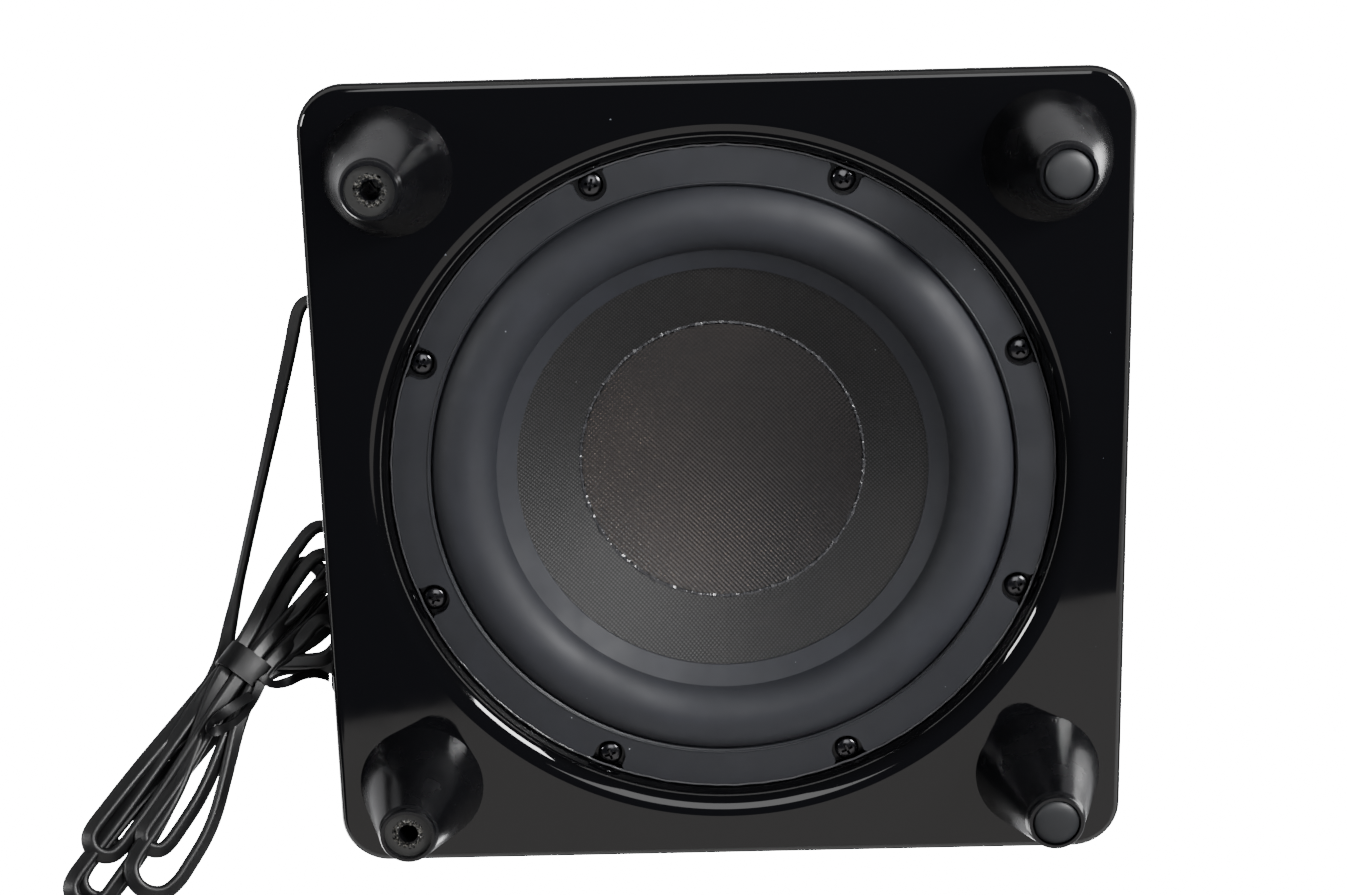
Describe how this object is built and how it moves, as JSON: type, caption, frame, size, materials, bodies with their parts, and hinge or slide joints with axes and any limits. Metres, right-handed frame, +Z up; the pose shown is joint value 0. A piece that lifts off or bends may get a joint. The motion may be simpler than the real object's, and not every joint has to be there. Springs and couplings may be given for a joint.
{
  "type": "subwoofer",
  "caption": "Down-firing powered subwoofer on cone feet: gloss cabinet with leaning sides, recessed woven-cone driver underneath and amplifier panel behind.",
  "frame": {"origin": "on the floor under the middle of the object without its cord, 10 mm behind the driver's axis", "axes": "+Z up, the amplifier panel faces +Y and the plain front faces -Y, +X to the right seen from the front"},
  "size_m": [0.2669, 0.3672, 0.353],
  "materials": {
    "gloss_lacquer": "high gloss black lacquer on fibreboard",
    "raw_board": "bare fibreboard",
    "polyester_wadding": "soft white wadding",
    "satin_plastic": "satin moulded plastic",
    "pad_rubber": "dull dark grey rubber",
    "zinc_steel": "zinc plated steel",
    "black_steel": "black coated stamped steel",
    "black_screw": "black gloss plated steel",
    "seal_foam": "closed cell foam",
    "gasket": "fine textured satin plastic",
    "surround_rubber": "matte butyl rubber",
    "spider_cloth": "resin treated cotton",
    "woven_cone": "woven fibre in resin, brown black",
    "glue": "clear black contact glue",
    "former_foil": "rolled foil",
    "copper_winding": "enamelled copper wire",
    "ferrite": "sintered ferrite",
    "board_laminate": "green solder resist",
    "wire_sheath": "soft wire insulation",
    "panel_paint": "satin black powder coat on steel",
    "transformer_tape": "yellow polyester tape over copper",
    "can_sleeve": "shrunk plastic sleeve",
    "sink_aluminium": "extruded aluminium",
    "control_plastic": "moulded black plastic",
    "rocker_plastic": "polished black plastic",
    "pot_metal": "plated steel",
    "nickel_contact": "nickel plate",
    "lamp_lens": "tinted lens",
    "cord_sheath": "soft black sheath",
    "tie_strip": "shiny plastic strip",
    "plug_moulding": "moulded black plastic"
  },
  "bodies": {
    "cabinet": {"bottom_panel": "gloss_lacquer", "cabinet_sleeve": "gloss_lacquer", "top_panel": "gloss_lacquer", "cross_brace": "raw_board", "glue_blocks": "raw_board", "wadding": "polyester_wadding", "foot_front_left": "satin_plastic", "foot_front_right": "satin_plastic", "foot_rear_left": "satin_plastic", "foot_rear_right": "satin_plastic", "foot_pads": "pad_rubber", "foot_screws": "zinc_steel", "basket": "black_steel", "basket_seal": "seal_foam", "gasket_ring": "gasket", "driver_screws": "black_screw", "surround": "surround_rubber", "spider": "spider_cloth", "front_plate": "black_steel", "magnet": "ferrite", "magnet_yoke": "black_steel", "terminal_board": "board_laminate", "terminal_tabs": "zinc_steel", "speaker_wires": "wire_sheath", "amp_plate": "panel_paint", "amp_foam": "seal_foam", "amp_screws": "black_screw", "main_board": "board_laminate", "standoffs": "zinc_steel", "transformer": "transformer_tape", "transformer_bolt": "zinc_steel", "capacitors": "can_sleeve", "heat_sink": "sink_aluminium", "pots": "pot_metal", "pot_nuts": "zinc_steel", "slide_switches": "control_plastic", "power_bezel": "control_plastic", "jack_cores": "control_plastic", "jack_shells": "nickel_contact", "status_lamp": "lamp_lens", "cord_gland": "control_plastic", "cord_lead": "cord_sheath", "cord_hank": "cord_sheath", "cord_tie": "tie_strip", "cord_tail": "cord_sheath", "plug_body": "plug_moulding", "plug_blades": "nickel_contact"},
    "driver_cone": {"cone": "woven_cone", "dust_cap": "woven_cone", "cap_bead": "glue", "coil_former": "former_foil", "voice_coil": "copper_winding"},
    "level_control": {"level_shaft": "pot_metal", "level_knob": "control_plastic"},
    "crossover_control": {"crossover_shaft": "pot_metal", "crossover_knob": "control_plastic"},
    "power_switch": {"power_rocker": "rocker_plastic"},
    "mode_switch": {"mode_lever": "control_plastic"},
    "phase_switch": {"phase_lever": "control_plastic"}
  },
  "joints": [
    {"name": "cone_travel", "type": "slide", "parent": "cabinet", "child": "driver_cone", "axis": [0, 0, -1], "range_m": [-0.006, 0.006], "stiffness_N_per_m": 2200, "deforming": ["surround", "spider"]},
    {"name": "level_turn", "type": "hinge", "parent": "cabinet", "child": "level_control", "pos_m": [0.038, 0.13, 0.272], "axis": [0, 1, 0], "range_deg": [-150, 150]},
    {"name": "crossover_turn", "type": "hinge", "parent": "cabinet", "child": "crossover_control", "pos_m": [-0.038, 0.13, 0.272], "axis": [0, 1, 0], "range_deg": [-150, 150]},
    {"name": "power_rock", "type": "hinge", "parent": "cabinet", "child": "power_switch", "pos_m": [0.038, 0.123, 0.162], "axis": [1, 0, 0], "range_deg": [0, 16]},
    {"name": "mode_slide", "type": "slide", "parent": "cabinet", "child": "mode_switch", "axis": [-1, 0, 0], "range_m": [0, 0.005]},
    {"name": "phase_slide", "type": "slide", "parent": "cabinet", "child": "phase_switch", "axis": [-1, 0, 0], "range_m": [0, 0.005]}
  ]
}
